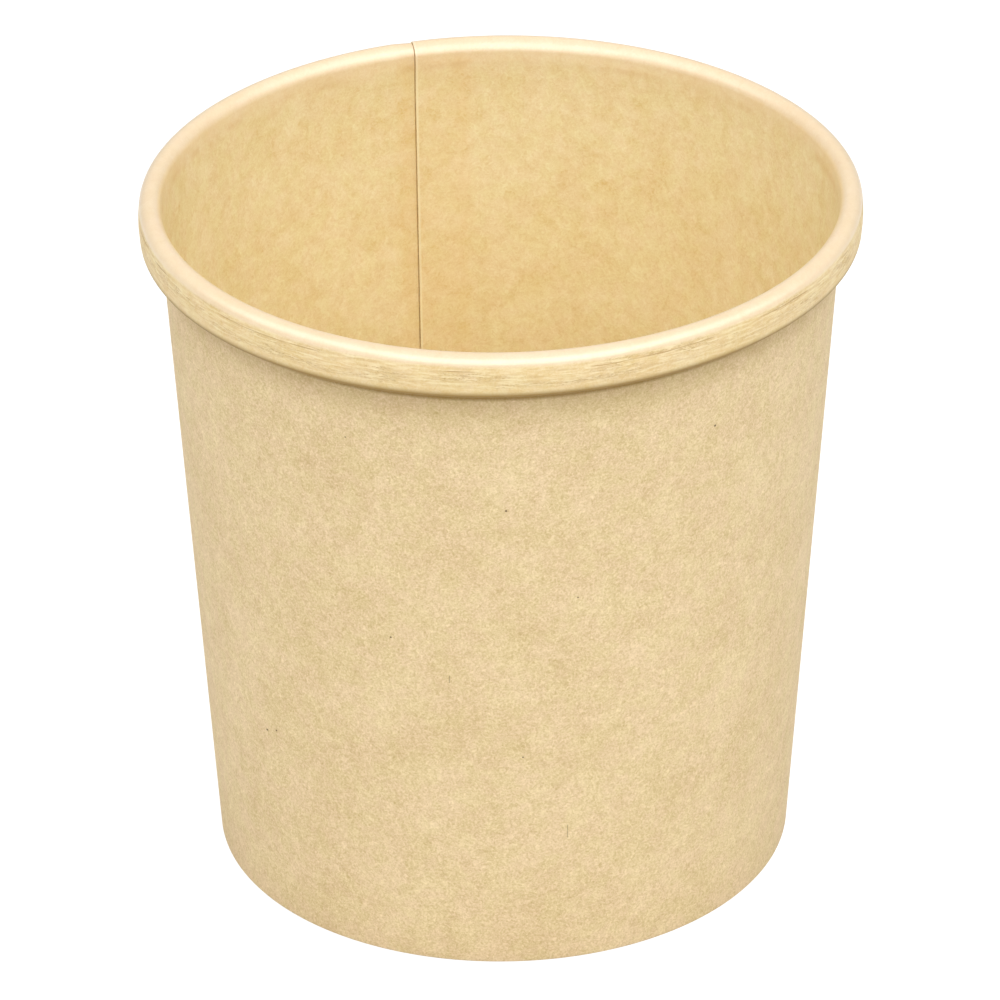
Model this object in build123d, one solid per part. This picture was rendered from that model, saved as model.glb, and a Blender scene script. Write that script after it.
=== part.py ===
from build123d import *
from math import atan2, cos, degrees, hypot, pi, tan
import os

# Kraft paper soup cup. Millimetres, +Z up, origin at the middle of the foot.
# The camera side of the cup is -Y. Two pieces of board: the side wall and the bottom disc.

# Overall sizes
RIM_DIAMETER = 98.0
BASE_DIAMETER = 80.0
HEIGHT = 98.7

# Board thicknesses
BOARD = 0.42
DISC_BOARD = 0.34

# Rolled rim, an upright oval whose inner side stands straight up from a gentle neck
ROLL_HEIGHT = 6.1
ROLL_WIDTH = 3.4
ROLL_OVERHANG = 2.94
ROLL_BELLY = 0.25
ROLL_FLAT = 0.12
LOW_BEND = 0.12
BELLY_RADIUS = 10.0
NECK_RADIUS = 30.0
NECK_DROP = 1.1
TAIL_RISE = 3.0
TAIL_BEND = 0.06

# Lap seam, on the back wall a little to the left of the middle
SEAM_ANGLE = 105.3
LAP_WIDTH = 7.0
RAMP_WIDTH = 3.0

# Foot and bottom disc
DISC_RECESS = 8.6
DISC_BEND = 0.9
HEM_BELOW_DISC = 1.3
CREASE_RADIUS = 0.1

# Clearances
GLUE_LINE = 0.06
TAIL_CLEARANCE = 0.13
SKIRT_CLEARANCE = 0.15

# Sizes that follow from the ones above
RIM_RADIUS = RIM_DIAMETER / 2
BASE_RADIUS = BASE_DIAMETER / 2
ROLL_BOTTOM = HEIGHT - ROLL_HEIGHT
ROLL_MIDDLE = HEIGHT - ROLL_HEIGHT / 2
WALL_RADIUS_AT_ROLL = RIM_RADIUS - ROLL_OVERHANG
TAPER = atan2(WALL_RADIUS_AT_ROLL - BASE_RADIUS, ROLL_BOTTOM)
SKIRT_SPACE = DISC_BOARD + 2 * GLUE_LINE
HEM_TOP = DISC_RECESS - HEM_BELOW_DISC
SEAM_RADIUS = (BASE_RADIUS + RIM_RADIUS) / 2
LAP_ANGLE = degrees(LAP_WIDTH / SEAM_RADIUS)
RAMP_ANGLE = degrees(RAMP_WIDTH / SEAM_RADIUS)


def wall_line(inset, z):
    """Point at height z on a line parallel to the outer face of the wall, inset towards the axis."""
    return (BASE_RADIUS + z * tan(TAPER) - inset / cos(TAPER), z)


def board_path():
    """Corners and bend radii of the inner face of the board, from the end of the hem to the roll's tail."""
    belly_lean = atan2(ROLL_BELLY, ROLL_HEIGHT / 2)
    rounded_off = BELLY_RADIUS / cos(belly_lean) - BELLY_RADIUS
    roll_inside = RIM_RADIUS - ROLL_WIDTH - rounded_off
    roll_outside = RIM_RADIUS + rounded_off
    neck = wall_line(BOARD, ROLL_BOTTOM - NECK_DROP)
    belly = (roll_inside, ROLL_MIDDLE)
    neck_lean = atan2(belly[0] - neck[0], belly[1] - neck[1])
    tail_gap = (2 * BOARD + TAIL_CLEARANCE) / cos(neck_lean)

    def tail_line(z):
        return (neck[0] + (z - neck[1]) * tan(neck_lean) + tail_gap, z)

    tail_foot = tail_line(ROLL_BOTTOM)
    corners = [
        wall_line(BOARD + SKIRT_SPACE, HEM_TOP),
        wall_line(BOARD + SKIRT_SPACE, BOARD),
        wall_line(BOARD, BOARD),
        neck,
        belly,
        (roll_inside + ROLL_BELLY, HEIGHT),
        (roll_outside - ROLL_BELLY, HEIGHT),
        (roll_outside, ROLL_MIDDLE),
        (roll_outside - ROLL_BELLY, ROLL_BOTTOM),
        tail_foot,
        tail_line(ROLL_BOTTOM + TAIL_RISE),
    ]
    turn = pi / 2 - belly_lean
    top_room = corners[6][0] - corners[5][0] - ROLL_FLAT
    top_radius = top_room / 2 / tan(turn / 2)
    bends = [CREASE_RADIUS, CREASE_RADIUS, NECK_RADIUS, BELLY_RADIUS, top_radius, top_radius]
    bends += [BELLY_RADIUS, 2 * BOARD + LOW_BEND, 2 * BOARD + TAIL_BEND]
    return corners, bends


def board_face_line(depth):
    """The board path moved by depth through the board, towards its outer face."""
    corners, bends = board_path()
    ways = []
    for a, b in zip(corners, corners[1:]):
        run = hypot(b[0] - a[0], b[1] - a[1])
        ways.append(((b[1] - a[1]) / run, (a[0] - b[0]) / run))
    radii = []
    for n, m, bend in zip(ways, ways[1:], bends):
        turns_left = n[0] * m[1] - n[1] * m[0] > 0
        radii.append(bend + depth if turns_left else bend - depth)
    ways = [ways[0]] + ways + [ways[-1]]
    moved = []
    for corner, n, m in zip(corners, ways, ways[1:]):
        scale = depth / (1 + n[0] * m[0] + n[1] * m[1])
        moved.append((corner[0] + scale * (n[0] + m[0]), corner[1] + scale * (n[1] + m[1])))
    return FilletPolyline(*moved, radius=radii)


def board_section(layer):
    """Section of one layer of board: layer 0 lies on the forming drum, layer 1 is glued over it."""
    inner = board_face_line(layer * BOARD)
    outer = board_face_line((layer + 1) * BOARD)
    ends = [Line(inner @ 0, outer @ 0), Line(inner @ 1, outer @ 1)]
    return Plane.XZ * make_face(inner.edges() + outer.edges() + ends)


def turned(section, start, sweep):
    """A section turned about the cup's axis, from one angle and through another."""
    return Rot(0, 0, start) * revolve(section, Axis.Z, sweep)


def side_wall():
    """The wrapped board with its hem, lap seam and rolled rim, glued into one piece."""
    drum_layer = board_section(0)
    lap_layer = board_section(1)
    wrap = turned(drum_layer, SEAM_ANGLE + RAMP_ANGLE, 360 - RAMP_ANGLE)
    lap = turned(lap_layer, SEAM_ANGLE - LAP_ANGLE, LAP_ANGLE)
    ramp_start = Rot(0, 0, SEAM_ANGLE) * lap_layer
    ramp_end = Rot(0, 0, SEAM_ANGLE + RAMP_ANGLE) * drum_layer
    ramp = loft([ramp_start, ramp_end], ruled=True)
    glued = wrap + lap + ramp
    on_table = (Align.CENTER, Align.CENTER, Align.MIN)
    above_table = Box(2 * RIM_DIAMETER, 2 * RIM_DIAMETER, 2 * HEIGHT, align=on_table)
    return glued & above_table


def bottom_disc():
    """The disc panel with its edge bent down into the skirt that the hem holds."""
    top = DISC_RECESS + DISC_BOARD
    outer = BOARD + GLUE_LINE
    inner = outer + DISC_BOARD
    low = BOARD + CREASE_RADIUS + SKIRT_CLEARANCE
    upper = FilletPolyline((0, top), wall_line(outer, top), wall_line(outer, low), radius=DISC_BEND)
    under = FilletPolyline(
        (0, DISC_RECESS),
        wall_line(inner, DISC_RECESS),
        wall_line(inner, low),
        radius=DISC_BEND - DISC_BOARD,
    )
    ends = [Line(upper @ 0, under @ 0), Line(upper @ 1, under @ 1)]
    section = Plane.XZ * make_face(upper.edges() + under.edges() + ends)
    return revolve(section, Axis.Z)


os.makedirs("parts", exist_ok=True)
export_step(side_wall(), "parts/side_wall.step")
export_step(bottom_disc(), "parts/bottom_disc.step")
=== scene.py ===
"""Dresses the kraft board soup cup: its wrapped side wall, its bottom disc and a plain studio stage."""
import math

import bmesh
import bpy
from mathutils import Matrix, Vector


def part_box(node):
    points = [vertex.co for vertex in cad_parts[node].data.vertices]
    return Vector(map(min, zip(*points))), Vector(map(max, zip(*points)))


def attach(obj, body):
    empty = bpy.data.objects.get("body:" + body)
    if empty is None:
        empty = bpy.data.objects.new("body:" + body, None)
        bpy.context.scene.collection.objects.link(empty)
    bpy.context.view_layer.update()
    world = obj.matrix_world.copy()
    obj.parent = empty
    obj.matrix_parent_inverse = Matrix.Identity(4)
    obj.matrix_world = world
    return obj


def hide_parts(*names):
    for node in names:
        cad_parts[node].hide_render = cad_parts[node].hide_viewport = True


bl_info = {
    "name": "Kraft soup cup",
    "version": (1, 0, 0),
    "blender": (4, 5, 0),
    "location": "3D View > Sidebar > Soup Cup",
    "description": "Models a rolled-rim soup cup of kraft board around its packed solids",
    "category": "Add Mesh",
}

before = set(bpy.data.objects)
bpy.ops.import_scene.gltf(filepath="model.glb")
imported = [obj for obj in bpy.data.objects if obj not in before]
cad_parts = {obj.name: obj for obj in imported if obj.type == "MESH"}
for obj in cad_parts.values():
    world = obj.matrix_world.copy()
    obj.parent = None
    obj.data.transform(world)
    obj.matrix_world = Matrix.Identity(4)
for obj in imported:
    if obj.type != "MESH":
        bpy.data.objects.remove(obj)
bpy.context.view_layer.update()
_, WALL_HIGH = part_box("side_wall")

MM = 0.001
PIXELS_A_SIDE = 1000
SENSOR = 36.0

# Tolerances, in metres and then in radians
SAME_POINT = 1e-7
SAME_HEIGHT = 1e-6
ON_THE_LINE = 2e-6
WALL_MERGE, DISC_MERGE = 5e-7, 1e-6
SAME_TURN = 1e-4
SEAM_TURN = 1e-5
BACK_TURN = 0.01

SHARP = math.radians(38)  # between two faces, from which on their edge stays sharp
SEAM_PIVOT = 0.75  # part of the cup's height at which the leaning seam keeps its place


def shade(red, green, blue):
    """A screen colour, 0 to 255 a channel, as a shader's linear colour. The numbers are the sRGB curve's."""
    linear = []
    for channel in (red, green, blue):
        part = channel / 255
        linear.append(part / 12.92 if part <= 0.04045 else ((part + 0.055) / 1.055) ** 2.4)
    return tuple(linear)


def length(name, description, millimetres):
    return bpy.props.FloatProperty(
        name=name, description=description, default=millimetres * MM, unit="LENGTH", precision=5
    )


def angle(name, description, degrees):
    return bpy.props.FloatProperty(
        name=name, description=description, default=math.radians(degrees), subtype="ANGLE", unit="ROTATION"
    )


def number(name, description, default):
    return bpy.props.FloatProperty(name=name, description=description, default=default)


def count(name, description, default):
    return bpy.props.IntProperty(name=name, description=description, default=default, min=1)


def colour(name, description, red, green, blue):
    return bpy.props.FloatVectorProperty(
        name=name,
        description=description,
        default=shade(red, green, blue),
        subtype="COLOR",
        size=3,
        min=0.0,
        max=1.0,
    )


class CupSizes(bpy.types.PropertyGroup):
    """The cup's own sizes, the same ones that its solids have."""

    rim_radius: length("Rim radius", "Outside of the rolled rim", WALL_HIGH[0] / MM)
    height: length("Height", "Foot to top of the rim", WALL_HIGH[2] / MM)
    base_radius: length("Base radius", "Outside of the wall at the foot", 40.0)
    board: length("Board", "Thickness of the wall's board", 0.42)
    disc_board: length("Disc board", "Thickness of the bottom's board", 0.34)
    roll_height: length("Roll height", "Top of the rim to the lower edge of its roll", 6.1)
    roll_width: length("Roll width", "Inside to outside of the roll at its widest", 3.4)
    roll_overhang: length("Roll overhang", "How far the roll stands out from the line of the wall", 2.94)
    roll_belly: length("Roll belly", "Swell of the roll's two sides at half its height", 0.25)
    roll_flat: length("Roll flat", "Flat left on top of the roll, between its two bends", 0.12)
    belly_radius: length("Belly radius", "Bend radius of the roll's two sides", 10.0)
    neck_radius: length("Neck radius", "Bend radius where the wall straightens up below the roll", 30.0)
    neck_drop: length("Neck drop", "How far below the roll the wall starts to lean inwards", 1.1)
    tail_rise: length("Tail rise", "How far the board's end climbs inside the roll", 3.0)
    low_bend: length("Low bend", "Inner bend radius of the doubled roll at its lower edge", 0.12)
    tail_bend: length("Tail bend", "Inner bend radius of the roll's doubled end", 0.06)
    tail_clearance: length("Tail clearance", "Room between the tail and the doubled wall", 0.13)
    seam: angle("Seam", "Where the inner layer ends, round from +X", 105.3)
    lap: length("Lap", "Width of the glued lap", 7.0)
    ramp: length("Ramp", "Width over which the outer layer climbs on to the inner one", 3.0)
    groove: length("Groove", "Width of the groove where the outer layer bends over the cut end", 0.1)
    drape: number("Drape", "Part of the climb that the outer layer makes slowly, past the groove", 0.75)
    rim_drape: number("Rim drape", "The same on top of the roll, where the seam is pressed flat", 0.4)
    lap_glue: length("Lap glue", "Glue between the two layers of the lap", 0.02)
    disc_recess: length("Disc recess", "Underside of the bottom above the table", 8.6)
    disc_bend: length("Disc bend", "Bend radius where the disc turns down into its skirt", 0.9)
    hem_below_disc: length("Hem below disc", "Top of the hem below the underside of the disc", 1.3)
    crease_radius: length("Crease radius", "Inner bend radius of the fold at the foot", 0.1)
    disc_glue: length("Disc glue", "Glue each side of the disc's skirt", 0.06)
    skirt_clearance: length("Skirt clearance", "Room under the lower edge of the skirt", 0.15)
    pressed_height: length("Pressed height", "How high the double fold at the lap is pressed flat", 1.0)
    edge_wear: length("Edge wear", "Softening of the cut ends of the board", 0.08)
    columns: count("Columns", "Steps round the wall, apart from the lap", 456)
    lap_columns: count("Lap columns", "Steps across the lap", 14)
    ramp_columns: count("Ramp columns", "Steps across the ramp", 24)
    disc_columns: count("Disc columns", "Steps round the bottom disc", 160)


class CupForm(bpy.types.PropertyGroup):
    """How far this hand-held cup is from perfectly round and level."""

    rim_oval: length("Rim oval", "Diagonal stretch of the rim", -0.23)
    rim_square: length("Rim square", "Four-sided swell of the rim", 0.11)
    rim_three: length("Rim three", "Three-sided swell of the rim", -0.035)
    base_oval: length("Base oval", "Diagonal stretch of the foot", -0.14)
    roll_short_front: length("Roll shorter in front", "Lift of the roll's lower edge in front", 0.14)
    roll_short_side: length("Roll shorter at the side", "Lift of the roll's lower edge, twice round", 0.28)
    rim_tilt: length("Rim tilt", "Rise of the rim from left to right", 0.10)
    shoulder_slump: length("Shoulder slump", "How much lower the roll's inner shoulder is at the back", 0.55)
    shoulder_pinch: length("Shoulder pinch", "How much thinner the roll is at the two sides", 0.22)
    seam_lean: angle("Seam lean", "Twist of the wall from foot to rim, which leans the seam", -1.15)
    crinkle: length("Crinkle", "Depth of the small wrinkles round the roll", 0.06)
    crinkle_size: length("Crinkle size", "Distance between wrinkles", 0.34)
    crinkle_stretch: number("Crinkle stretch", "How much longer than wide a wrinkle is", 9.0)
    crack: length("Crack", "Where the long thin crack runs, below the roll's top bend", 0.9)
    crack_wander: length("Crack wander", "How far the crack strays up and down", 1.6)


class CupColours(bpy.types.PropertyGroup):
    """Colours of the board."""

    bare: colour("Bare board", "Lighter fibres of the outside", 246, 226, 188)
    bare_dark: colour("Bare board, dark", "Darker fibres of the outside", 199, 173, 121)
    lined: colour("Lined board", "Lighter fibres under the coating", 252, 242, 206)
    lined_dark: colour("Lined board, dark", "Darker fibres under the coating", 228, 202, 141)
    rosy: colour("Rosy pulp", "Tint of the slightly redder patches", 255, 250, 253)
    straw: colour("Straw pulp", "Tint of the slightly yellower patches", 252, 253, 243)
    # Heat tint of the seam and lap, also the colour of the painted shade over the hidden end of the lap
    warm: colour("Warmed board", "Where the seam was heated and pressed", 232, 186, 106)
    # Tone of the roll's pressed top, partly painted shade that keeps its highlight from washing out
    polish_and_shade: colour("Polished board", "Where the roll was pressed smooth", 236, 206, 173)
    # Dark lines of the roll's creases and crack and the dark side of its streaks, partly painted shade
    crease: colour("Crease", "Cracks in the roll's coating", 170, 126, 66)
    # Painted shade: colour of the roll's shadowed lower edge and of its painted shadow on the wall below
    under_roll_shade: colour("Underside", "Shaded lower edge of the roll, in its own shade", 140, 106, 28)
    # Darker tone of the roll's outer side, where its coating is stretched, partly painted shade
    rolled: colour("Rolled board", "Outer side of the roll, where the coating is stretched", 214, 176, 112)
    # Painted shade: dark patches under the roll's inner side, where the wall turns into the neck
    mark: colour("Neck mark", "Dull marks that the forming tool left inside the roll", 216, 176, 104)
    cut: colour("Cut edge", "Raw edge of the board", 252, 232, 190)
    fleck: colour("Fleck", "Bark specks and dark fibres", 104, 80, 52)


class StageSettings(bpy.types.PropertyGroup):
    """Camera, lamps and floor."""

    camera_distance: length("Camera distance", "Camera to the middle of the cup", 1014.3)
    camera_elevation: angle("Camera elevation", "Height of the camera above the horizon", 29.36)
    camera_pitch: angle("Camera pitch", "Small turn of the camera up or down", -0.05)
    camera_yaw: angle("Camera yaw", "Small turn of the camera to the side", -0.02)
    camera_roll: angle("Camera roll", "Small roll of the camera", 0.33)
    camera_reach: length("Camera reach", "How far the camera sees", 20000.0)
    focal_pixels: number("Focal length", "Focal length in pixels of the picture", 7315.0)
    key_power: number("Key power", "Power of the large lamp over the front, in watts", 7.65)
    key_width: length("Key width", "Width of the large lamp", 1500.0)
    key_size: length("Key size", "Height of the large lamp", 950.0)
    key_distance: length("Key distance", "Large lamp to the cup", 1100.0)
    key_elevation: angle("Key elevation", "Height of the large lamp above the horizon", 50.5)
    key_azimuth: angle("Key azimuth", "Large lamp round from the front, to the right", 6.0)
    top_power: number("Top power", "Power of the lamp straight above, in watts", 2.65)
    side_power: number("Side power", "Power of each lamp at the side, in watts", 2.2)
    side_size: length("Side size", "Side of the lamps above and at the side", 800.0)
    side_elevation: angle("Side elevation", "Height of the side lamps above the horizon", 50.0)
    side_azimuth: angle("Side azimuth", "Side lamps round from the front, both ways", 85.0)
    room_light: number("Room light", "Strength of the light from all round", 0.535)
    room_tint: colour("Room tint", "Colour of the light from all round", 255, 252, 246)
    floor_grey: number("Floor grey", "How much light the floor throws back", 0.8)
    floor_glow: number("Floor glow", "Brightness of the floor as the camera sees it, away from shadow", 1.25)
    floor_size: length("Floor size", "Side of the floor", 6000.0)
    floor_shadow: number("Floor shadow", "How much of the cup's shadow the floor keeps", 0.25)


def sizes():
    return bpy.context.scene.cup_sizes


def form():
    return bpy.context.scene.cup_form


def colours():
    return bpy.context.scene.cup_colours


def settings():
    return bpy.context.scene.cup_stage


# Sections of the board, in metres, as (radius, height)


def wall_line(inset, z):
    """Point at height z on a line parallel to the wall's outer face, inset towards the axis."""
    s = sizes()
    roll_bottom = s.height - s.roll_height
    slope = (s.rim_radius - s.roll_overhang - s.base_radius) / roll_bottom
    return Vector((s.base_radius + z * slope - inset * math.hypot(1, slope), z))


def board_corners():
    """Corners and bend radii of the board's drum side, from the hem's end to the roll's tail."""
    s = sizes()
    skirt_space = s.disc_board + 2 * s.disc_glue
    roll_bottom = s.height - s.roll_height
    belly_lean = math.atan2(s.roll_belly, s.roll_height / 2)
    rounded_off = s.belly_radius / math.cos(belly_lean) - s.belly_radius
    roll_inside = s.rim_radius - s.roll_width - rounded_off
    roll_outside = s.rim_radius + rounded_off
    neck = wall_line(s.board, roll_bottom - s.neck_drop)
    belly = Vector((roll_inside, s.height - s.roll_height / 2))
    neck_lean = math.atan2(belly.x - neck.x, belly.y - neck.y)
    tail_gap = (2 * s.board + s.tail_clearance) / math.cos(neck_lean)

    def tail_line(z):
        return Vector((neck.x + (z - neck.y) * math.tan(neck_lean) + tail_gap, z))

    top_in = Vector((roll_inside + s.roll_belly, s.height))
    top_out = Vector((roll_outside - s.roll_belly, s.height))
    low_out = Vector((roll_outside - s.roll_belly, roll_bottom))
    tail_foot = tail_line(roll_bottom)
    corners = [
        wall_line(s.board + skirt_space, s.disc_recess - s.hem_below_disc),
        wall_line(s.board + skirt_space, s.board),
        wall_line(s.board, s.board),
        neck,
        belly,
        top_in,
        top_out,
        Vector((roll_outside, belly.y)),
        low_out,
        tail_foot,
        tail_line(roll_bottom + s.tail_rise),
    ]
    turn = math.tan((math.pi / 2 - belly_lean) / 2)
    top_radius = (top_out.x - top_in.x - s.roll_flat) / 2 / turn
    bends = [s.crease_radius, s.crease_radius, s.neck_radius, s.belly_radius, top_radius, top_radius]
    bends += [s.belly_radius, 2 * s.board + s.low_bend, 2 * s.board + s.tail_bend]
    return corners, bends


def moved_line(corners, bends, depth):
    """A line of corners moved to its right by depth, with its bend radii to suit."""
    ways = []
    for a, b in zip(corners, corners[1:]):
        run = (b - a).normalized()
        ways.append(Vector((run.y, -run.x)))
    ways = [ways[0]] + ways + [ways[-1]]
    moved = []
    for corner, n, m in zip(corners, ways, ways[1:]):
        moved.append(corner + (n + m) * (depth / (1 + n.dot(m))))
    radii = []
    for i, bend in enumerate(bends):
        before = corners[i + 1] - corners[i]
        after = corners[i + 2] - corners[i + 1]
        left_turn = before.x * after.y - before.y * after.x > 0
        radii.append(bend + depth if left_turn else bend - depth)
    return moved, radii


def rounded(corners, radii, run_steps, bend_steps):
    """Points along a line of corners whose inner corners are rounded."""
    points = [corners[0]]

    def run_to(end, steps):
        start = points[-1]
        for i in range(1, steps + 1):
            points.append(start.lerp(end, i / steps))

    for i, radius in enumerate(radii):
        corner = corners[i + 1]
        back = (corners[i] - corner).normalized()
        on = (corners[i + 2] - corner).normalized()
        half = back.angle(on) / 2
        centre = corner + (back + on).normalized() * (radius / math.sin(half))
        start = corner + back * (radius / math.tan(half))
        end = corner + on * (radius / math.tan(half))
        run_to(start, run_steps[i])
        spoke = start - centre
        sweep = spoke.angle_signed(end - centre)
        for k in range(1, bend_steps[i] + 1):
            turn = Matrix.Rotation(-sweep * k / bend_steps[i], 2)
            points.append(centre + turn @ spoke)
    run_to(corners[-1], run_steps[-1])
    return points


def board_section(level):
    """Both faces of the board's section, lifted off the drum by level. Returns drum side, outer side."""
    corners, bends = board_corners()
    s = sizes()
    drum = rounded(
        *moved_line(corners, bends, level),
        run_steps=(3, 1, 26, 3, 1, 1, 2, 3, 1, 3),
        bend_steps=(3, 3, 3, 4, 10, 10, 5, 8, 6),
    )
    outer = rounded(
        *moved_line(corners, bends, level + s.board),
        run_steps=(3, 1, 26, 3, 1, 1, 2, 2, 1, 2),
        bend_steps=(4, 4, 3, 3, 5, 5, 2, 4, 3),
    )
    return drum, outer


# Work by hand, in edit mode


def clear_selection():
    """Nothing selected and nothing active, in object mode."""
    if bpy.context.object and bpy.context.object.mode != "OBJECT":
        bpy.ops.object.mode_set(mode="OBJECT")
    bpy.ops.object.select_all(action="DESELECT")


def choose(*pieces):
    """The given pieces selected and the first of them active, in object mode."""
    clear_selection()
    for piece in pieces:
        piece.select_set(True)
    bpy.context.view_layer.objects.active = pieces[0]


def edit(piece):
    choose(piece)
    bpy.ops.object.mode_set(mode="EDIT")
    bpy.ops.mesh.select_mode(type="VERT")


def pick(piece, kind, test):
    """Selects the vertices or edges of a piece in edit mode that pass a test."""
    bpy.ops.mesh.select_mode(type="VERT")
    bpy.ops.mesh.select_all(action="DESELECT")
    bpy.ops.mesh.select_mode(type={"verts": "VERT", "edges": "EDGE"}[kind])
    mesh = bmesh.from_edit_mesh(piece.data)
    for element in getattr(mesh, kind):
        if test(element, mesh):
            element.select_set(True)
    mesh.select_flush_mode()
    bmesh.update_edit_mesh(piece.data)


def drawn_line(name, points, azimuth, closed):
    """A line of points drawn vertex by vertex in the half-plane at an azimuth, as one new piece."""
    around = Vector((math.cos(azimuth), math.sin(azimuth), 0))
    places = [around * p.x + Vector((0, 0, p.y)) for p in points]
    clear_selection()
    bpy.ops.mesh.primitive_plane_add(size=MM, location=places[0])
    piece = bpy.context.object
    piece.name = name
    piece.data.name = name
    bpy.ops.object.transform_apply(location=True, rotation=True, scale=True)
    bpy.ops.object.mode_set(mode="EDIT")
    bpy.ops.mesh.select_all(action="SELECT")
    bpy.ops.mesh.merge(type="CENTER")
    for a, b in zip(places, places[1:]):
        bpy.ops.mesh.extrude_vertices_move(TRANSFORM_OT_translate={"value": b - a})
    if closed:
        ends = (places[0], places[-1])
        pick(piece, "verts", lambda v, m: min((v.co - e).length for e in ends) < SAME_POINT)
        bpy.ops.mesh.edge_face_add()
    bpy.ops.object.mode_set(mode="OBJECT")
    return piece, places


def mark(piece, name, places, values):
    """Writes a value on each vertex of a freshly drawn line, which spinning it then carries along."""
    layer = piece.data.attributes.new(name, "FLOAT", "POINT")
    for vertex, item in zip(piece.data.vertices, layer.data):
        nearest = min(range(len(places)), key=lambda i: (places[i] - vertex.co).length_squared)
        item.value = values[nearest]


def along(points):
    """Distance along a line of points, from its start."""
    run = [0.0]
    for a, b in zip(points, points[1:]):
        run.append(run[-1] + (b - a).length)
    return run


def spin(piece, sweep, steps):
    """Spins the drawn section about the cup's axis. A positive sweep turns from +X towards +Y."""
    edit(piece)
    bpy.ops.mesh.select_all(action="SELECT")
    bpy.ops.mesh.spin(steps=steps, angle=-sweep, center=(0, 0, 0), axis=(0, 0, 1))
    bpy.ops.object.mode_set(mode="OBJECT")


def azimuth_of(point):
    return math.atan2(point.y, point.x) % math.tau


def lap_angles():
    """Angles of the lap and of the ramp, taken half way up the wall."""
    s = sizes()
    middle = (s.base_radius + s.rim_radius) / 2
    return s.lap / middle, s.ramp / middle


DRUM_LAYER, LAP_LAYER, RAMP_LAYER = 0.0, 1.0, 2.0


def wrapped_layer(name, layer, level, start, sweep, steps):
    """One stretch of the wrapped board: its section drawn, marked and spun."""
    drum, outer = board_section(level)
    loop = drum + outer[::-1]
    piece, places = drawn_line(name, loop, start, closed=True)
    run = along(drum)
    outer_run = [value * run[-1] / along(outer)[-1] for value in along(outer)]
    mark(piece, "along", places, run + outer_run[::-1])
    mark(piece, "outer_side", places, [0.0] * len(drum) + [1.0] * len(outer))
    mark(piece, "layer", places, [layer] * len(loop))
    if layer == RAMP_LAYER:
        drum, outer = board_section(sizes().board + sizes().lap_glue)
        lifts = [high - low for low, high in zip(loop, drum + outer[::-1])]
        mark(piece, "outward", places, [lift.x for lift in lifts])
        mark(piece, "upward", places, [lift.y for lift in lifts])
    spin(piece, sweep, steps)
    return piece


def vertex_values(piece, name):
    return [item.value for item in piece.data.attributes[name].data]


def at_azimuth(azimuth, layer_value):
    """A test for vertices of one layer that stand in the half-plane at an azimuth."""

    def test(vertex, mesh):
        gap = (azimuth_of(vertex.co) - azimuth + math.pi) % math.tau - math.pi
        layer = vertex[mesh.verts.layers.float["layer"]]
        return abs(gap) * vertex.co.xy.length < ON_THE_LINE and abs(layer - layer_value) < 0.5

    return test


def climb(piece, level, seam, ramp_turn):
    """Lifts the ramp off the drum, up to a whole level at the seam, and presses its fold flat."""
    s = sizes()
    outward = vertex_values(piece, "outward")
    upward = vertex_values(piece, "upward")
    for vertex, out, up in zip(piece.data.vertices, outward, upward):
        turned = (azimuth_of(vertex.co) - seam + BACK_TURN) % math.tau - BACK_TURN
        part = turned / ramp_turn
        gentle = 1 - part * part * (3 - 2 * part)
        steep = max(0.0, 1 - turned * s.rim_radius / s.groove)
        rolled = held((vertex.co.z - s.height + s.roll_height) / s.roll_height)
        slow = s.drape + (s.rim_drape - s.drape) * rolled
        rise = slow * gentle + (1 - slow) * steep * steep
        around = vertex.co.xy.normalized() * (out * rise)
        vertex.co += Vector((around.x, around.y, up * rise))
        if turned > SAME_TURN and vertex.co.z < s.pressed_height:
            flat = s.pressed_height / (s.pressed_height + level * rise)
            vertex.co.z = s.pressed_height + (vertex.co.z - s.pressed_height) * flat


def join(*pieces):
    choose(*pieces)
    bpy.ops.object.join()
    return pieces[0]


def merge(piece, distance):
    """Makes one of points closer than a distance, in edit mode."""
    edit(piece)
    bpy.ops.mesh.select_all(action="SELECT")
    bpy.ops.mesh.remove_doubles(threshold=distance)


def face_outwards():
    """Turns every face outwards, and leaves edit mode."""
    bpy.ops.mesh.select_all(action="SELECT")
    bpy.ops.mesh.normals_make_consistent(inside=False)
    bpy.ops.object.mode_set(mode="OBJECT")


def close_sheet(wall, seam, lap_turn):
    """Joins the ramp to both layers, and closes the two cut ends of the board."""
    merge(wall, WALL_MERGE)
    for test in (at_azimuth(seam, DRUM_LAYER), at_azimuth(seam - lap_turn, LAP_LAYER)):
        pick(wall, "edges", lambda e, m: all(test(v, m) for v in e.verts))
        bpy.ops.mesh.edge_face_add()
        bpy.ops.mesh.bevel(offset=sizes().edge_wear, segments=2, affect="EDGES")
    face_outwards()


def press_fold(wall, seam, lap_turn):
    """Presses the doubled fold at the lap's foot until it is level with the rest of the foot."""
    s = sizes()
    edit(wall)

    def doubled(vertex, mesh):
        turn = (seam - azimuth_of(vertex.co)) % math.tau
        inside = turn < lap_turn + SAME_TURN or turn > math.tau - SAME_TURN
        return inside and vertex.co.z < s.pressed_height

    pick(wall, "verts", doubled)
    high, level = s.pressed_height, s.board + s.lap_glue
    bpy.ops.transform.resize(value=(1, 1, high / (high + level)), center_override=(0, 0, high))
    bpy.ops.object.mode_set(mode="OBJECT")


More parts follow.
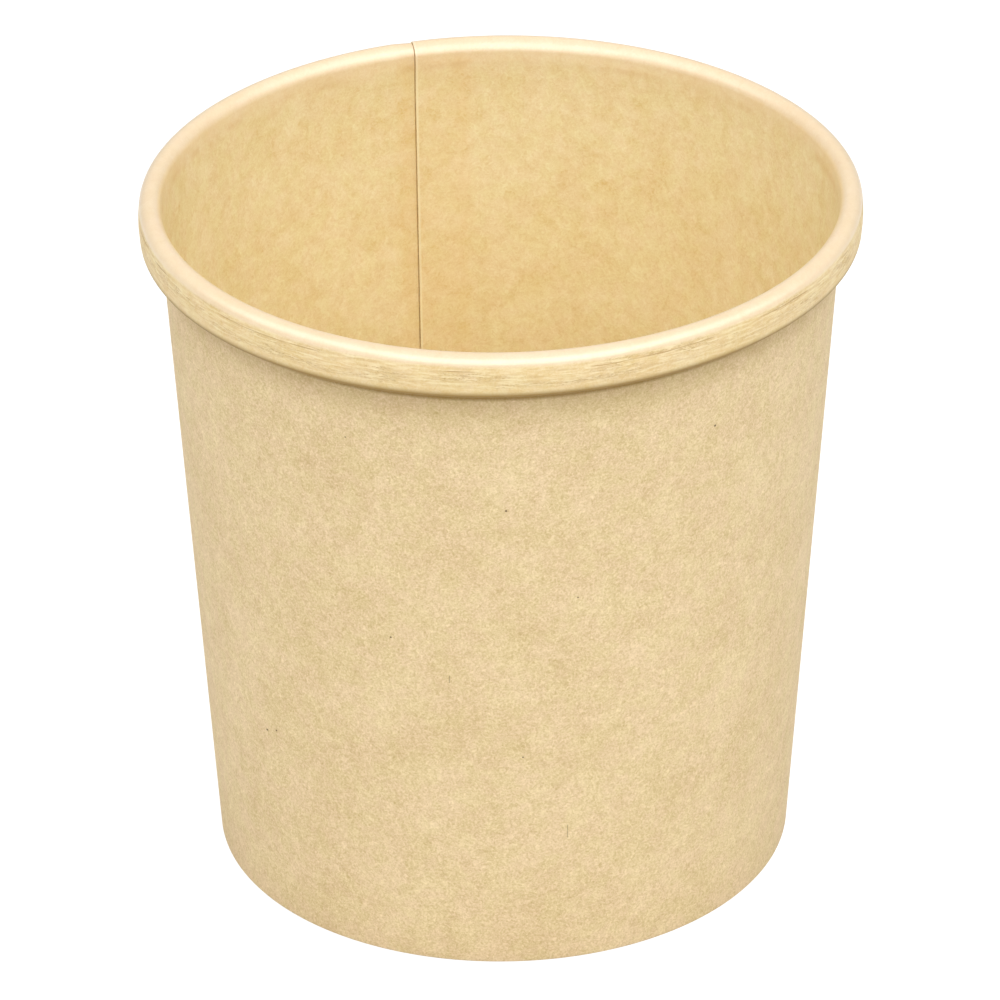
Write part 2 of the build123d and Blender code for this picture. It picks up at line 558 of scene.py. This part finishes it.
def lay_out(wall, seam):
    """Gives the wall a UV map in metres on the unrolled board: round the cup, and up through the roll."""
    mesh = wall.data
    run = vertex_values(wall, "along")
    layer = vertex_values(wall, "layer")
    reach = sizes().rim_radius
    grid = mesh.uv_layers.new(name="board")
    for loop, item in zip(mesh.loops, grid.data):
        index = loop.vertex_index
        turn = (azimuth_of(mesh.vertices[index].co) - seam) % math.tau
        drum = abs(layer[index] - DRUM_LAYER) < 0.5
        if drum and turn < SEAM_TURN:
            turn = math.tau
        if not drum and turn > math.pi:
            turn -= math.tau
        item.uv = (turn * reach, run[index])


def finish_piece(piece, body, slot, *replaced):
    """The piece's materials, its smooth shading and its place in the frame."""
    paint(piece, *board_materials())
    choose(piece)
    bpy.ops.object.shade_smooth_by_angle(angle=SHARP)
    clear_selection()
    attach(piece, body)
    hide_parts(*replaced)


def held(value):
    """A value kept between 0 and 1."""
    return min(1.0, max(0.0, value))


def out_of_round(wall):
    """The small ways in which a real cup is neither quite round nor quite level."""
    f = form()
    s = sizes()
    roll_bottom = s.height - s.roll_height
    neck = roll_bottom - s.neck_drop
    belly = s.height - s.roll_height / 2
    middle = s.rim_radius - s.roll_width / 2
    for vertex in wall.data.vertices:
        place = vertex.co
        front = math.atan2(place.x, -place.y)
        up = place.z / s.height
        radius = place.xy.length
        inner = held((middle - radius) / (s.roll_width / 2))
        swell = f.rim_oval * math.sin(2 * front) + f.rim_square * math.cos(4 * front)
        swell += f.rim_three * math.sin(3 * front)
        swell = up * swell + (1 - up) * f.base_oval * math.sin(2 * front)
        swell += f.shoulder_pinch * math.sin(front) ** 2 * inner * held((place.z - neck) / (belly - neck))
        outside = radius - wall_line(0, place.z).x
        if outside > s.tail_clearance and place.z > roll_bottom - MM:
            low = held((s.height - place.z) / s.roll_height)
            lift = f.roll_short_front * math.cos(front) + f.roll_short_side * math.sin(2 * front)
            place.z += lift * low * held(outside / s.board)
        slump = f.shoulder_slump * max(0.0, -math.cos(front))
        place.z -= slump * inner * held((place.z - belly) / (s.height - belly))
        place.z += up * f.rim_tilt * math.sin(front)
        place.xy *= (radius + swell) / radius
        place.xy = Matrix.Rotation(f.seam_lean * (up - SEAM_PIVOT), 2) @ place.xy


def build_wall():
    s = sizes()
    lap_turn, ramp_turn = lap_angles()
    level = s.board + s.lap_glue
    around = math.tau - ramp_turn
    wrap = wrapped_layer("side_wall_board", DRUM_LAYER, 0, s.seam + ramp_turn, around, s.columns)
    lap = wrapped_layer("lap_layer", LAP_LAYER, level, s.seam, -lap_turn, s.lap_columns)
    ramp = wrapped_layer("ramp_layer", RAMP_LAYER, 0, s.seam, ramp_turn, s.ramp_columns)
    climb(ramp, level, s.seam, ramp_turn)
    wall = join(wrap, lap, ramp)
    close_sheet(wall, s.seam, lap_turn)
    press_fold(wall, s.seam, lap_turn)
    lay_out(wall, s.seam)
    out_of_round(wall)
    return wall


def disc_section():
    """Upper and lower line of the bottom disc's section, from its middle to the foot of its skirt."""
    s = sizes()
    top = s.disc_recess + s.disc_board
    outer = s.board + s.disc_glue
    low = s.board + s.crease_radius + s.skirt_clearance
    corners = [Vector((0, top)), wall_line(outer, top), wall_line(outer, low)]
    upper = rounded(corners, [s.disc_bend], run_steps=(8, 6), bend_steps=(6,))
    inner = outer + s.disc_board
    corners = [Vector((0, s.disc_recess)), wall_line(inner, s.disc_recess), wall_line(inner, low)]
    under = rounded(corners, [s.disc_bend - s.disc_board], run_steps=(8, 6), bend_steps=(6,))
    return upper, under


def build_disc():
    s = sizes()
    upper, under = disc_section()
    disc, places = drawn_line("bottom_disc_board", upper + under[::-1], s.seam, closed=False)
    mark(disc, "outer_side", places, [0.0] * len(upper) + [1.0] * len(under))
    spin(disc, math.tau, s.disc_columns)
    merge(disc, DISC_MERGE)
    face_outwards()
    return disc


# Materials

# Where a colour Mix node keeps its factor, its two colours and its result
MIX_FACTOR, MIX_FIRST, MIX_SECOND, MIX_RESULT = 0, 6, 7, 2


def connect(tree, value, socket):
    """Links another node's output to a socket, or sets the socket to a plain value or colour."""
    if isinstance(value, bpy.types.NodeSocket):
        tree.links.new(value, socket)
    else:
        socket.default_value = (*value, 1.0) if socket.type == "RGBA" else value


def feed(tree, node, **values):
    """Connects a node's inputs by name, with _ for a space."""
    for name, value in values.items():
        connect(tree, value, node.inputs[name.replace("_", " ")])


def add(tree, kind, **values):
    """A shader node with its properties and inputs given by name."""
    node = tree.nodes.new(kind)
    for name, value in values.items():
        if hasattr(node, name):
            setattr(node, name, value)
        else:
            feed(tree, node, **{name: value})
    return node


def maths(tree, operation, *values, clamp=False):
    """A Math node whose inputs are values or other nodes' outputs."""
    node = add(tree, "ShaderNodeMath", operation=operation, use_clamp=clamp)
    for value, socket in zip(values, node.inputs):
        connect(tree, value, socket)
    return node.outputs[0]


def minus(tree, first, second):
    return maths(tree, "SUBTRACT", first, second)


def larger(tree, first, second):
    return maths(tree, "MAXIMUM", first, second)


def apart(tree, first, second):
    """How far apart two values are."""
    return maths(tree, "ABSOLUTE", minus(tree, first, second))


def total(tree, *values):
    result = values[0]
    for value in values[1:]:
        result = maths(tree, "ADD", result, value)
    return result


def product(tree, *values):
    result = values[0]
    for value in values[1:]:
        result = maths(tree, "MULTIPLY", result, value)
    return result


def swing(tree, value, amount):
    """A noise value turned into a swing about zero."""
    return product(tree, minus(tree, value, 0.5), amount)


def blend(tree, factor, first, second, mode="MIX"):
    """A colour Mix node, whose factor is kept between 0 and 1."""
    node = add(tree, "ShaderNodeMix", data_type="RGBA", blend_type=mode, clamp_factor=True)
    for value, place in ((factor, MIX_FACTOR), (first, MIX_FIRST), (second, MIX_SECOND)):
        connect(tree, value, node.inputs[place])
    return node.outputs[MIX_RESULT]


def layered(tree, body, *layers):
    """Lays colours over a body colour in turn, each given as its name, where it lies and how strongly."""
    for name, where, amount in layers:
        body = blend(tree, product(tree, where, amount), body, getattr(colours(), name))
    return body


def ramp(tree, value, low, high):
    """0 at low, 1 at high, smooth between. With low above high it falls."""
    node = add(
        tree, "ShaderNodeMapRange", interpolation_type="SMOOTHSTEP", Value=value, From_Min=low, From_Max=high
    )
    return node.outputs["Result"]


def noise(tree, place, scale, detail, roughness, distortion=0.0):
    """A Noise Texture's value at a place, with features about 1/scale metres wide."""
    node = add(tree, "ShaderNodeTexNoise", Vector=place, Scale=scale, Detail=detail)
    feed(tree, node, Roughness=roughness, Distortion=distortion)
    return node.outputs["Fac"]


def parts_of(tree, place):
    """The three parts of a place, as X, Y and Z."""
    return add(tree, "ShaderNodeSeparateXYZ", Vector=place).outputs


def group_of(name, inputs, outputs):
    """A new shader group with a place and named values as inputs. Returns it with its two ends."""
    tree = bpy.data.node_groups.new(name, "ShaderNodeTree")
    tree.interface.new_socket("Place", in_out="INPUT", socket_type="NodeSocketVector")
    for label in inputs:
        tree.interface.new_socket(label, in_out="INPUT", socket_type="NodeSocketFloat")
    for label in outputs:
        kind = "NodeSocketColor" if label == "Tint" else "NodeSocketFloat"
        tree.interface.new_socket(label, in_out="OUTPUT", socket_type=kind)
    return tree, tree.nodes.new("NodeGroupInput").outputs, tree.nodes.new("NodeGroupOutput")


# The pulp's noises: features a metre, detail, roughness and distortion
PULP = {
    "Grain": (3600, 2.0, 0.7),
    "Strands": (1500, 3.0, 0.65, 1.6),
    "Patches": (420, 3.0, 0.6, 0.6),
    "Clouds": (95, 3.0, 0.55),
}
HUES = (310, 2.0, 0.6)
HUE_TURNS = (0.36, 0.64)
GRAIN_RELIEF, STRAND_RELIEF = 0.5, 1.0
FLECK_CELLS_A_METRE = 105
FLECK_EDGE = (0.022, 0.012)
CELLS_WITHOUT_FLECK = 0.8


def board_fibre_group():
    """Kraft board's pulp: fine grain, strands, patches and slow cloudiness, with scattered bark flecks."""
    tree, start, end = group_of("Board fibre", PULP, ("Dark", "Height", "Fleck", "Tint"))
    c = colours()
    place = start["Place"]
    hue = ramp(tree, noise(tree, place, *HUES), *HUE_TURNS)
    pulp = {name: noise(tree, place, *shape) for name, shape in PULP.items()}
    swings = [swing(tree, value, start[name]) for name, value in pulp.items()]
    dark = maths(tree, "ADD", total(tree, *swings), 0.5, clamp=True)
    relief = (swing(tree, pulp["Grain"], GRAIN_RELIEF), swing(tree, pulp["Strands"], STRAND_RELIEF))
    cells = add(tree, "ShaderNodeTexVoronoi", Vector=place, Scale=FLECK_CELLS_A_METRE)
    drawn = add(tree, "ShaderNodeSeparateColor", Color=cells.outputs["Color"]).outputs[0]
    spot = ramp(tree, cells.outputs["Distance"], *FLECK_EDGE)
    rare = maths(tree, "GREATER_THAN", drawn, CELLS_WITHOUT_FLECK)
    feed(tree, end, Dark=dark, Height=total(tree, *relief), Fleck=product(tree, spot, rare))
    feed(tree, end, Tint=blend(tree, hue, c.rosy, c.straw))
    return tree


# The roll's noises: features to a wrinkle, detail, roughness and distortion. Other lengths in metres
STREAKS = (1.0, 3.0, 0.62, 0.2)
WRINKLE_PATCHES = (0.3, 2.0, 0.5)
CRACK_STRAY = (0.12, 4.0, 0.6)
CREASE_EDGE = (0.03, 0.0)
CREASED_PATCHES = (0.45, 0.62)
CRACKED_PATCHES = (0.46, 0.56)
CRACK_EDGE = (0.13 * MM, 0.03 * MM)
ROLL_BEGINS = (0.0, 0.6 * MM)
ROLL_ENDS = (0.0, 1.2 * MM)
WRINKLES_END = (0.8 * MM, 3.4 * MM)


def crinkle_group():
    """Fine streaks, creases and one long thin crack round the roll, where the board was bent tight. The
    lined board paints their shade and highlight into its colour as well as bumping them.
    """
    f = form()
    tree, start, end = group_of("Roll crinkle", ("From", "To"), ("Crease", "Streak", "Roll"))
    longer = (1 / f.crinkle_stretch, 1.0, 1.0)
    stretch = add(tree, "ShaderNodeMapping", Vector=start["Place"], Scale=longer).outputs[0]

    def wrinkled(features, *shape):
        return noise(tree, stretch, features / f.crinkle_size, *shape)

    streak = wrinkled(*STREAKS)
    patchy = wrinkled(*WRINKLE_PATCHES)
    crease = product(
        tree, ramp(tree, apart(tree, streak, 0.5), *CREASE_EDGE), ramp(tree, patchy, *CREASED_PATCHES)
    )
    run = parts_of(tree, start["Place"])["Y"]
    over = minus(tree, run, start["From"])
    short = minus(tree, start["To"], run)
    stray = swing(tree, wrinkled(*CRACK_STRAY), f.crack_wander)
    off_crack = apart(tree, over, total(tree, stray, f.crack))
    crack = product(tree, ramp(tree, off_crack, *CRACK_EDGE), ramp(tree, patchy, *CRACKED_PATCHES))
    band = product(tree, ramp(tree, over, *ROLL_BEGINS), ramp(tree, short, *ROLL_ENDS))
    wrinkles = product(tree, band, ramp(tree, short, *WRINKLES_END))
    feed(tree, end, Crease=product(tree, larger(tree, crease, crack), wrinkles))
    feed(tree, end, Streak=swing(tree, streak, wrinkles), Roll=band)
    return tree


# Bark specks and hairs on the front, in millimetres: x, z, half height and radius, and then their strength
SPECKS = (
    (0.5, 73.9, 0.0, 0.16, 1.0),
    (-15.0, 52.4, 0.0, 0.14, 1.0),
    (-31.0, 30.5, 0.0, 0.13, 1.0),
    (-32.3, 29.7, 0.0, 0.15, 1.0),
    (10.0, 59.4, 0.0, 0.12, 1.0),
    (2.6, 34.3, 0.0, 0.13, 1.0),
    (8.6, 21.5, 1.0, 0.07, 0.45),
    (-7.2, 46.8, 0.5, 0.08, 0.45),
)
SPECK_FADE, SPECK_CORE = 1.3 * MM, 0.5 * MM


def speck_group():
    """The few bark specks and hairs that can be picked out on the front of the wall."""
    tree, start, end = group_of("Front specks", (), ("Speck",))
    right, ahead, up = parts_of(tree, start["Place"])
    found = 0.0
    for x, z, half_height, radius, strength in SPECKS:
        across = minus(tree, right, x * MM)
        beyond = larger(tree, minus(tree, apart(tree, up, z * MM), half_height * MM), 0.0)
        squares = total(tree, product(tree, across, across), product(tree, beyond, beyond))
        spot = ramp(tree, maths(tree, "SQRT", squares), radius * SPECK_FADE, radius * SPECK_CORE)
        found = larger(tree, product(tree, spot, strength), found)
    feed(tree, end, Speck=product(tree, found, maths(tree, "LESS_THAN", ahead, 0.0)))
    return tree


# Lengths in metres, except the noise and how patchy it leaves the two bands
UNEVEN = (240, 3.0, 0.6)
BAND_PATCHES = (0.35, 0.6)
NECK_PATCHES = (0.42, 0.64)
PAST_RAMP = (1.2 * MM, -1.4 * MM)
LAP_END_BAND = (2.2 * MM, 0.4 * MM)
OVER_LAP = (-1.2 * MM, 0.4 * MM)
# Band and patchiness of the painted shade in the neck
NECK_BAND = (1.1 * MM, 0.0)
# Painted highlight on the lip beside the inner layer's cut end: where it starts and where it is whole, back
# from that end
LIP_OUTER, LIP_INNER = 0.5 * MM, 0.2 * MM
# How strongly the painted shade over the lap's hidden end and the lap's heat tint are laid on
LAP_END_SHADE, LAP_WARMTH = 0.5, 0.6


def seam_group():
    """A warmer band beside the seam, warmed board over the lap, painted shade over the hidden end of the
    lap, patches of painted shade in the neck and a painted highlight on the lip of the cut end.
    """
    tree, start, end = group_of("Seam tint", ("Ramp", "Lap end", "Neck"), ("Warm", "Neck mark", "Lip"))
    round_way, run, _ = parts_of(tree, start["Place"])
    uneven = noise(tree, start["Place"], *UNEVEN)
    beside = ramp(tree, minus(tree, round_way, start["Ramp"]), *PAST_RAMP)
    off_end = apart(tree, round_way, start["Lap end"])
    # Painted shade over the hidden end of the lap, where the outer layer's step would cast it
    over_end = product(tree, ramp(tree, off_end, *LAP_END_BAND), ramp(tree, uneven, *BAND_PATCHES))
    lapped = ramp(tree, minus(tree, round_way, start["Lap end"]), *OVER_LAP)
    lap = total(tree, product(tree, over_end, LAP_END_SHADE), product(tree, lapped, LAP_WARMTH))
    off_neck = apart(tree, run, start["Neck"])
    neck_shade = product(tree, ramp(tree, off_neck, *NECK_BAND), ramp(tree, uneven, *NECK_PATCHES))
    whole_way = math.tau * sizes().rim_radius
    lip = ramp(tree, round_way, whole_way - LIP_OUTER, whole_way - LIP_INNER)
    feed(tree, end, Warm=larger(tree, beside, lap), Neck_mark=neck_shade, Lip=lip)
    return tree


def new_material(name):
    material = bpy.data.materials.new(name)
    material.use_nodes = True
    tree = material.node_tree
    return material, tree, tree.nodes["Principled BSDF"]


def placed(tree, group, place, **values):
    """A shader group's outputs in a material, given its place and its plain values."""
    node = add(tree, "ShaderNodeGroup", node_tree=group)
    feed(tree, node, Place=place, **values)
    return node.outputs


def own_place(tree):
    return tree.nodes.new("ShaderNodeTexCoord").outputs["Object"]


def bump(tree, shader, height, strength, distance):
    node = add(tree, "ShaderNodeBump", Strength=strength, Distance=distance, Height=height)
    feed(tree, shader, Normal=node.outputs[0])


# How far below the roll's lower edge its two painted shadows start, and where they are whole
SHADED = (7.0 * MM, 1.0 * MM)
TUCKED = (2.5 * MM, 1.3 * MM)


def bare_board(fibre, specks):
    """Uncoated outside: matt, dry and fibrous, with the roll's shadow on it painted into its colour."""
    s, f, c = sizes(), form(), colours()
    material, tree, shader = new_material("bare_board")
    place = own_place(tree)
    pulp = placed(tree, fibre, place, Grain=1.05, Strands=1.35, Patches=0.5, Clouds=0.42)
    specks = placed(tree, specks, place)
    right, ahead, up = parts_of(tree, place)
    roll_bottom = s.height - s.roll_height
    radius = s.rim_radius - s.roll_overhang
    lift = total(
        tree,
        product(tree, ahead, -f.roll_short_front / radius),
        product(tree, right, ahead, -2 * f.roll_short_side / radius**2),
    )
    level = minus(tree, up, lift)
    shaded, tucked = (
        ramp(tree, level, roll_bottom - starts, roll_bottom - whole) for starts, whole in (SHADED, TUCKED)
    )
    # Painted shadow of the overhanging roll on the wall just below it
    shadow = larger(tree, product(tree, shaded, 0.23), product(tree, tucked, tucked, 0.78))
    body = blend(tree, pulp["Dark"], c.bare, c.bare_dark)
    body = blend(tree, 0.6, body, pulp["Tint"], "MULTIPLY")
    fleck = larger(tree, pulp["Fleck"], specks["Speck"])
    body = layered(tree, body, ("under_roll_shade", shadow, 1.0), ("fleck", fleck, 1.0))
    rough = total(tree, product(tree, pulp["Dark"], 0.12), 0.78)
    feed(tree, shader, Base_Color=body, Roughness=rough, Specular_IOR_Level=0.25)
    feed(tree, shader, Sheen_Weight=0.08, Sheen_Roughness=0.6)
    bump(tree, shader, pulp["Height"], strength=0.5, distance=0.06 * MM)
    return material


# Lengths along the board's section: past the neck and the top bend, and short of the roll's lower edge
POLISH_ABOVE_NECK = 2.0 * MM
POLISH_FADE = 0.6 * MM
ROLL_BEFORE_BEND = 0.1 * MM
# Span of the painted shade on the roll's lower edge: where it starts and where it is whole, short of that
# edge
SHADED_EDGE = (2.3 * MM, 0.9 * MM)


def lined_board(fibre, crinkle, seam):
    """Coated food side, which the rolled rim also shows: satin, burnished and creased round the roll. Its
    colour carries painted light too: shade and highlight along the wrinkles, shade in the creases, on the
    roll's lower edge and outer side, under its highlight and in the neck, and a highlight on the lip beside
    the seam.
    """
    s, c = sizes(), colours()
    drum, _ = board_section(0)
    run = along(drum)
    roll_bottom = s.height - s.roll_height
    top = [i for i, p in enumerate(drum) if p.y > s.height - SAME_HEIGHT]
    neck = min(range(len(drum)), key=lambda i: abs(drum[i].y - (roll_bottom - s.neck_drop)))
    shoulder = min(range(neck, top[0]), key=lambda i: abs(drum[i].y - (s.height - s.roll_height / 2)))
    widest = max(range(len(drum)), key=lambda i: drum[i].x)
    low = next(i for i in range(widest, len(drum)) if drum[i].y < roll_bottom + SAME_HEIGHT)
    roll_from = (run[top[-1]] + run[widest]) / 2 - ROLL_BEFORE_BEND
    lap_end = (math.tau - lap_angles()[0]) * s.rim_radius
    material, tree, shader = new_material("lined_board")
    pulp = placed(tree, fibre, own_place(tree), Grain=0.38, Strands=1.25, Patches=0.95, Clouds=0.56)
    board = add(tree, "ShaderNodeUVMap", uv_map="board").outputs[0]
    creases = placed(tree, crinkle, board, From=roll_from, To=run[low])
    tint = placed(tree, seam, board, Ramp=s.ramp, Lap_end=lap_end, Neck=run[shoulder])
    up = parts_of(tree, board)["Y"]
    polish = product(
        tree,
        ramp(tree, up, run[neck] + POLISH_ABOVE_NECK, run[top[0]]),
        ramp(tree, up, roll_from + POLISH_FADE, roll_from),
    )
    # Painted shade on the roll's lower edge, which turns under, away from the light
    shaded_edge = ramp(tree, up, *(run[low] - before for before in SHADED_EDGE))
    body = blend(tree, pulp["Dark"], c.lined, c.lined_dark)
    body = layered(
        tree,
        blend(tree, 0.5, body, pulp["Tint"], "MULTIPLY"),
        # Heat tint by the seam, with painted shade over the hidden end of the lap
        ("warm", tint["Warm"], 0.16),
        # Painted shade in patches in the neck
        ("mark", tint["Neck mark"], 0.35),
        # Painted highlight on the lip beside the seam's cut end
        ("lined", tint["Lip"], 0.6),
        # Pressed top of the roll, partly painted shade under its highlight
        ("polish_and_shade", polish, 0.6),
        # Roll's outer side, darker in tone and partly painted shade
        ("rolled", creases["Roll"], 0.37),
        # Painted shade and highlight along the roll's wrinkles, and painted shade in its creases and crack,
        # beside their bumps
        ("crease", creases["Streak"], 1.3),
        ("lined", creases["Streak"], -2.3),
        ("crease", creases["Crease"], 0.65),
        ("under_roll_shade", product(tree, shaded_edge, shaded_edge), 0.9),
        ("fleck", pulp["Fleck"], 1.0),
    )
    rough = total(
        tree,
        product(tree, creases["Roll"], 0.14),
        product(tree, polish, -0.08),
        0.38,
        product(tree, pulp["Dark"], 0.1),
    )
    feed(tree, shader, Base_Color=body, Roughness=rough, Specular_IOR_Level=0.5)
    feed(tree, shader, Coat_Weight=polish, Coat_Roughness=0.34, Coat_IOR=2.2)
    relief = total(
        tree,
        product(tree, pulp["Height"], 0.2),
        product(tree, creases["Streak"], 0.8),
        product(tree, creases["Crease"], -0.4),
    )
    bump(tree, shader, relief, strength=0.7, distance=form().crinkle)
    return material


def cut_board(fibre):
    """Raw edges: fluffy, a little darker, with no coating."""
    c = colours()
    material, tree, shader = new_material("cut_board")
    pulp = placed(tree, fibre, own_place(tree), Grain=1.6, Strands=1.2, Patches=0.3, Clouds=0.3)
    rough = total(tree, product(tree, pulp["Dark"], 0.1), 0.85)
    feed(tree, shader, Base_Color=blend(tree, pulp["Dark"], c.cut, c.bare_dark), Roughness=rough)
    bump(tree, shader, pulp["Height"], strength=0.8, distance=0.1 * MM)
    return material


CUT_SLOT = 2


def paint(piece, lined, bare, cut):
    """Gives each face its side of the board: food side, outside or cut edge."""
    for material in (lined, bare, cut):
        piece.data.materials.append(material)
    side = vertex_values(piece, "outer_side")
    for face in piece.data.polygons:
        sides = {round(side[v]) for v in face.vertices}
        face.material_index = CUT_SLOT if len(sides) > 1 else sides.pop()


def board_materials():
    names = ("lined_board", "bare_board", "cut_board")
    if names[0] not in bpy.data.materials:
        fibre = board_fibre_group()
        lined_board(fibre, crinkle_group(), seam_group())
        bare_board(fibre, speck_group())
        cut_board(fibre)
    return [bpy.data.materials[name] for name in names]


# Stage


def camera_sees(tree):
    """1 where the camera looks straight at it, 0 for light that bounces."""
    return tree.nodes.new("ShaderNodeLightPath").outputs["Is Camera Ray"]


def build_floor():
    s = settings()
    clear_selection()
    bpy.ops.mesh.primitive_plane_add(size=s.floor_size)
    floor = bpy.context.object
    floor.name = "studio_floor"
    material, tree, shader = new_material("floor_white")
    feed(tree, shader, Base_Color=(s.floor_grey,) * 3, Roughness=0.9, Specular_IOR_Level=0.1)
    glow = add(tree, "ShaderNodeEmission", Strength=s.floor_glow)
    mix = tree.nodes.new("ShaderNodeMixShader")
    amount = product(tree, camera_sees(tree), 1 - s.floor_shadow)
    for value, socket in zip((amount, shader.outputs[0], glow.outputs[0]), mix.inputs):
        tree.links.new(value, socket)
    feed(tree, tree.nodes["Material Output"], Surface=mix.outputs[0])
    floor.data.materials.append(material)


def build_room():
    s = settings()
    world = bpy.data.worlds.new("studio_room")
    bpy.context.scene.world = world
    world.use_nodes = True
    tree = world.node_tree
    seen = camera_sees(tree)
    strength = total(tree, product(tree, seen, 1 - s.room_light), s.room_light)
    tint = blend(tree, seen, s.room_tint, (1.0, 1.0, 1.0))
    feed(tree, tree.nodes["Background"], Strength=strength, Color=tint)


def softbox(name, power, width, side, azimuth, elevation):
    """A lamp aimed at the middle of the cup, its azimuth from the front to the right."""
    middle = Vector((0, 0, sizes().height / 2))
    low = math.cos(elevation)
    way = Vector((low * math.sin(azimuth), -low * math.cos(azimuth), math.sin(elevation)))
    clear_selection()
    bpy.ops.object.light_add(type="AREA", location=middle + way * settings().key_distance)
    lamp = bpy.context.object
    lamp.name = name
    lamp.data.shape = "RECTANGLE"
    lamp.data.size = width
    lamp.data.size_y = side
    lamp.data.energy = power
    lamp.rotation_euler = (middle - lamp.location).to_track_quat("-Z", "Y").to_euler()
    return lamp


def build_lamps():
    s = settings()
    softbox("key_softbox", s.key_power, s.key_width, s.key_size, s.key_azimuth, s.key_elevation)
    above = softbox("top_softbox", s.top_power, s.side_size, s.side_size, 0.0, math.pi / 2)
    above.visible_glossy = False
    for name, azimuth in (("right_softbox", s.side_azimuth), ("left_softbox", -s.side_azimuth)):
        softbox(name, s.side_power, s.side_size, s.side_size, azimuth, s.side_elevation)


def build_camera():
    """The camera, from its fitted place, turn and focal length."""
    s = settings()
    middle = Vector((0, 0, sizes().height / 2))
    up = s.camera_elevation
    place = middle + Vector((0, -math.cos(up), math.sin(up))) * s.camera_distance
    pitch = up + s.camera_pitch
    yaw = s.camera_yaw
    ahead = Vector((math.sin(yaw) * math.cos(pitch), math.cos(yaw) * math.cos(pitch), -math.sin(pitch)))
    right = Vector((math.cos(yaw), -math.sin(yaw), 0))
    down = ahead.cross(right)
    roll = s.camera_roll
    right_rolled = math.cos(roll) * right + math.sin(roll) * down
    down_rolled = math.cos(roll) * down - math.sin(roll) * right
    bpy.ops.object.camera_add()
    camera = bpy.context.object
    camera.name = "studio_camera"
    turn = Matrix((right_rolled, -down_rolled, -ahead)).transposed()
    camera.matrix_world = Matrix.Translation(place) @ turn.to_4x4()
    camera.data.sensor_width = SENSOR
    camera.data.sensor_fit = "HORIZONTAL"
    camera.data.lens = s.focal_pixels / PIXELS_A_SIDE * SENSOR
    camera.data.clip_end = s.camera_reach
    bpy.context.scene.camera = camera


class SOUPCUP_OT_side_wall(bpy.types.Operator):
    """Model the wrapped side wall with its hem, lap seam and rolled rim"""

    bl_idname = "soupcup.side_wall"
    bl_label = "Side wall"

    def execute(self, context):
        finish_piece(build_wall(), "root", "wall_board", "side_wall")
        return {"FINISHED"}


class SOUPCUP_OT_bottom_disc(bpy.types.Operator):
    """Model the bottom disc with its turned-down skirt"""

    bl_idname = "soupcup.bottom_disc"
    bl_label = "Bottom disc"

    def execute(self, context):
        finish_piece(build_disc(), "root", "disc_board", "bottom_disc")
        return {"FINISHED"}


class SOUPCUP_OT_stage(bpy.types.Operator):
    """Set up the floor, the lamps, the room's light and the camera"""

    bl_idname = "soupcup.stage"
    bl_label = "Stage"

    def execute(self, context):
        context.scene.view_settings.view_transform = "Standard"
        build_floor()
        build_room()
        build_lamps()
        build_camera()
        return {"FINISHED"}


class SOUPCUP_PT_panel(bpy.types.Panel):
    """Sizes, colours and the buttons that build the cup"""

    bl_idname = "SOUPCUP_PT_panel"
    bl_label = "Kraft soup cup"
    bl_space_type = "VIEW_3D"
    bl_region_type = "UI"
    bl_category = "Soup Cup"

    def draw(self, context):
        layout = self.layout
        for operator in OPERATORS:
            layout.operator(operator.bl_idname)
        for group in (sizes(), form(), colours(), settings()):
            box = layout.box()
            for name in group.bl_rna.properties.keys():
                if name not in ("rna_type", "name"):
                    box.prop(group, name)


OPERATORS = (SOUPCUP_OT_side_wall, SOUPCUP_OT_bottom_disc, SOUPCUP_OT_stage)
GROUPS = {
    "cup_sizes": CupSizes,
    "cup_form": CupForm,
    "cup_colours": CupColours,
    "cup_stage": StageSettings,
}
CLASSES = (*GROUPS.values(), *OPERATORS, SOUPCUP_PT_panel)


def register():
    for cls in CLASSES:
        bpy.utils.register_class(cls)
    for name, group in GROUPS.items():
        setattr(bpy.types.Scene, name, bpy.props.PointerProperty(type=group))


def unregister():
    for name in GROUPS:
        delattr(bpy.types.Scene, name)
    for cls in reversed(CLASSES):
        bpy.utils.unregister_class(cls)


def main():
    register()
    bpy.ops.soupcup.side_wall()
    bpy.ops.soupcup.bottom_disc()
    bpy.ops.soupcup.stage()


if __name__ == "__main__":
    main()
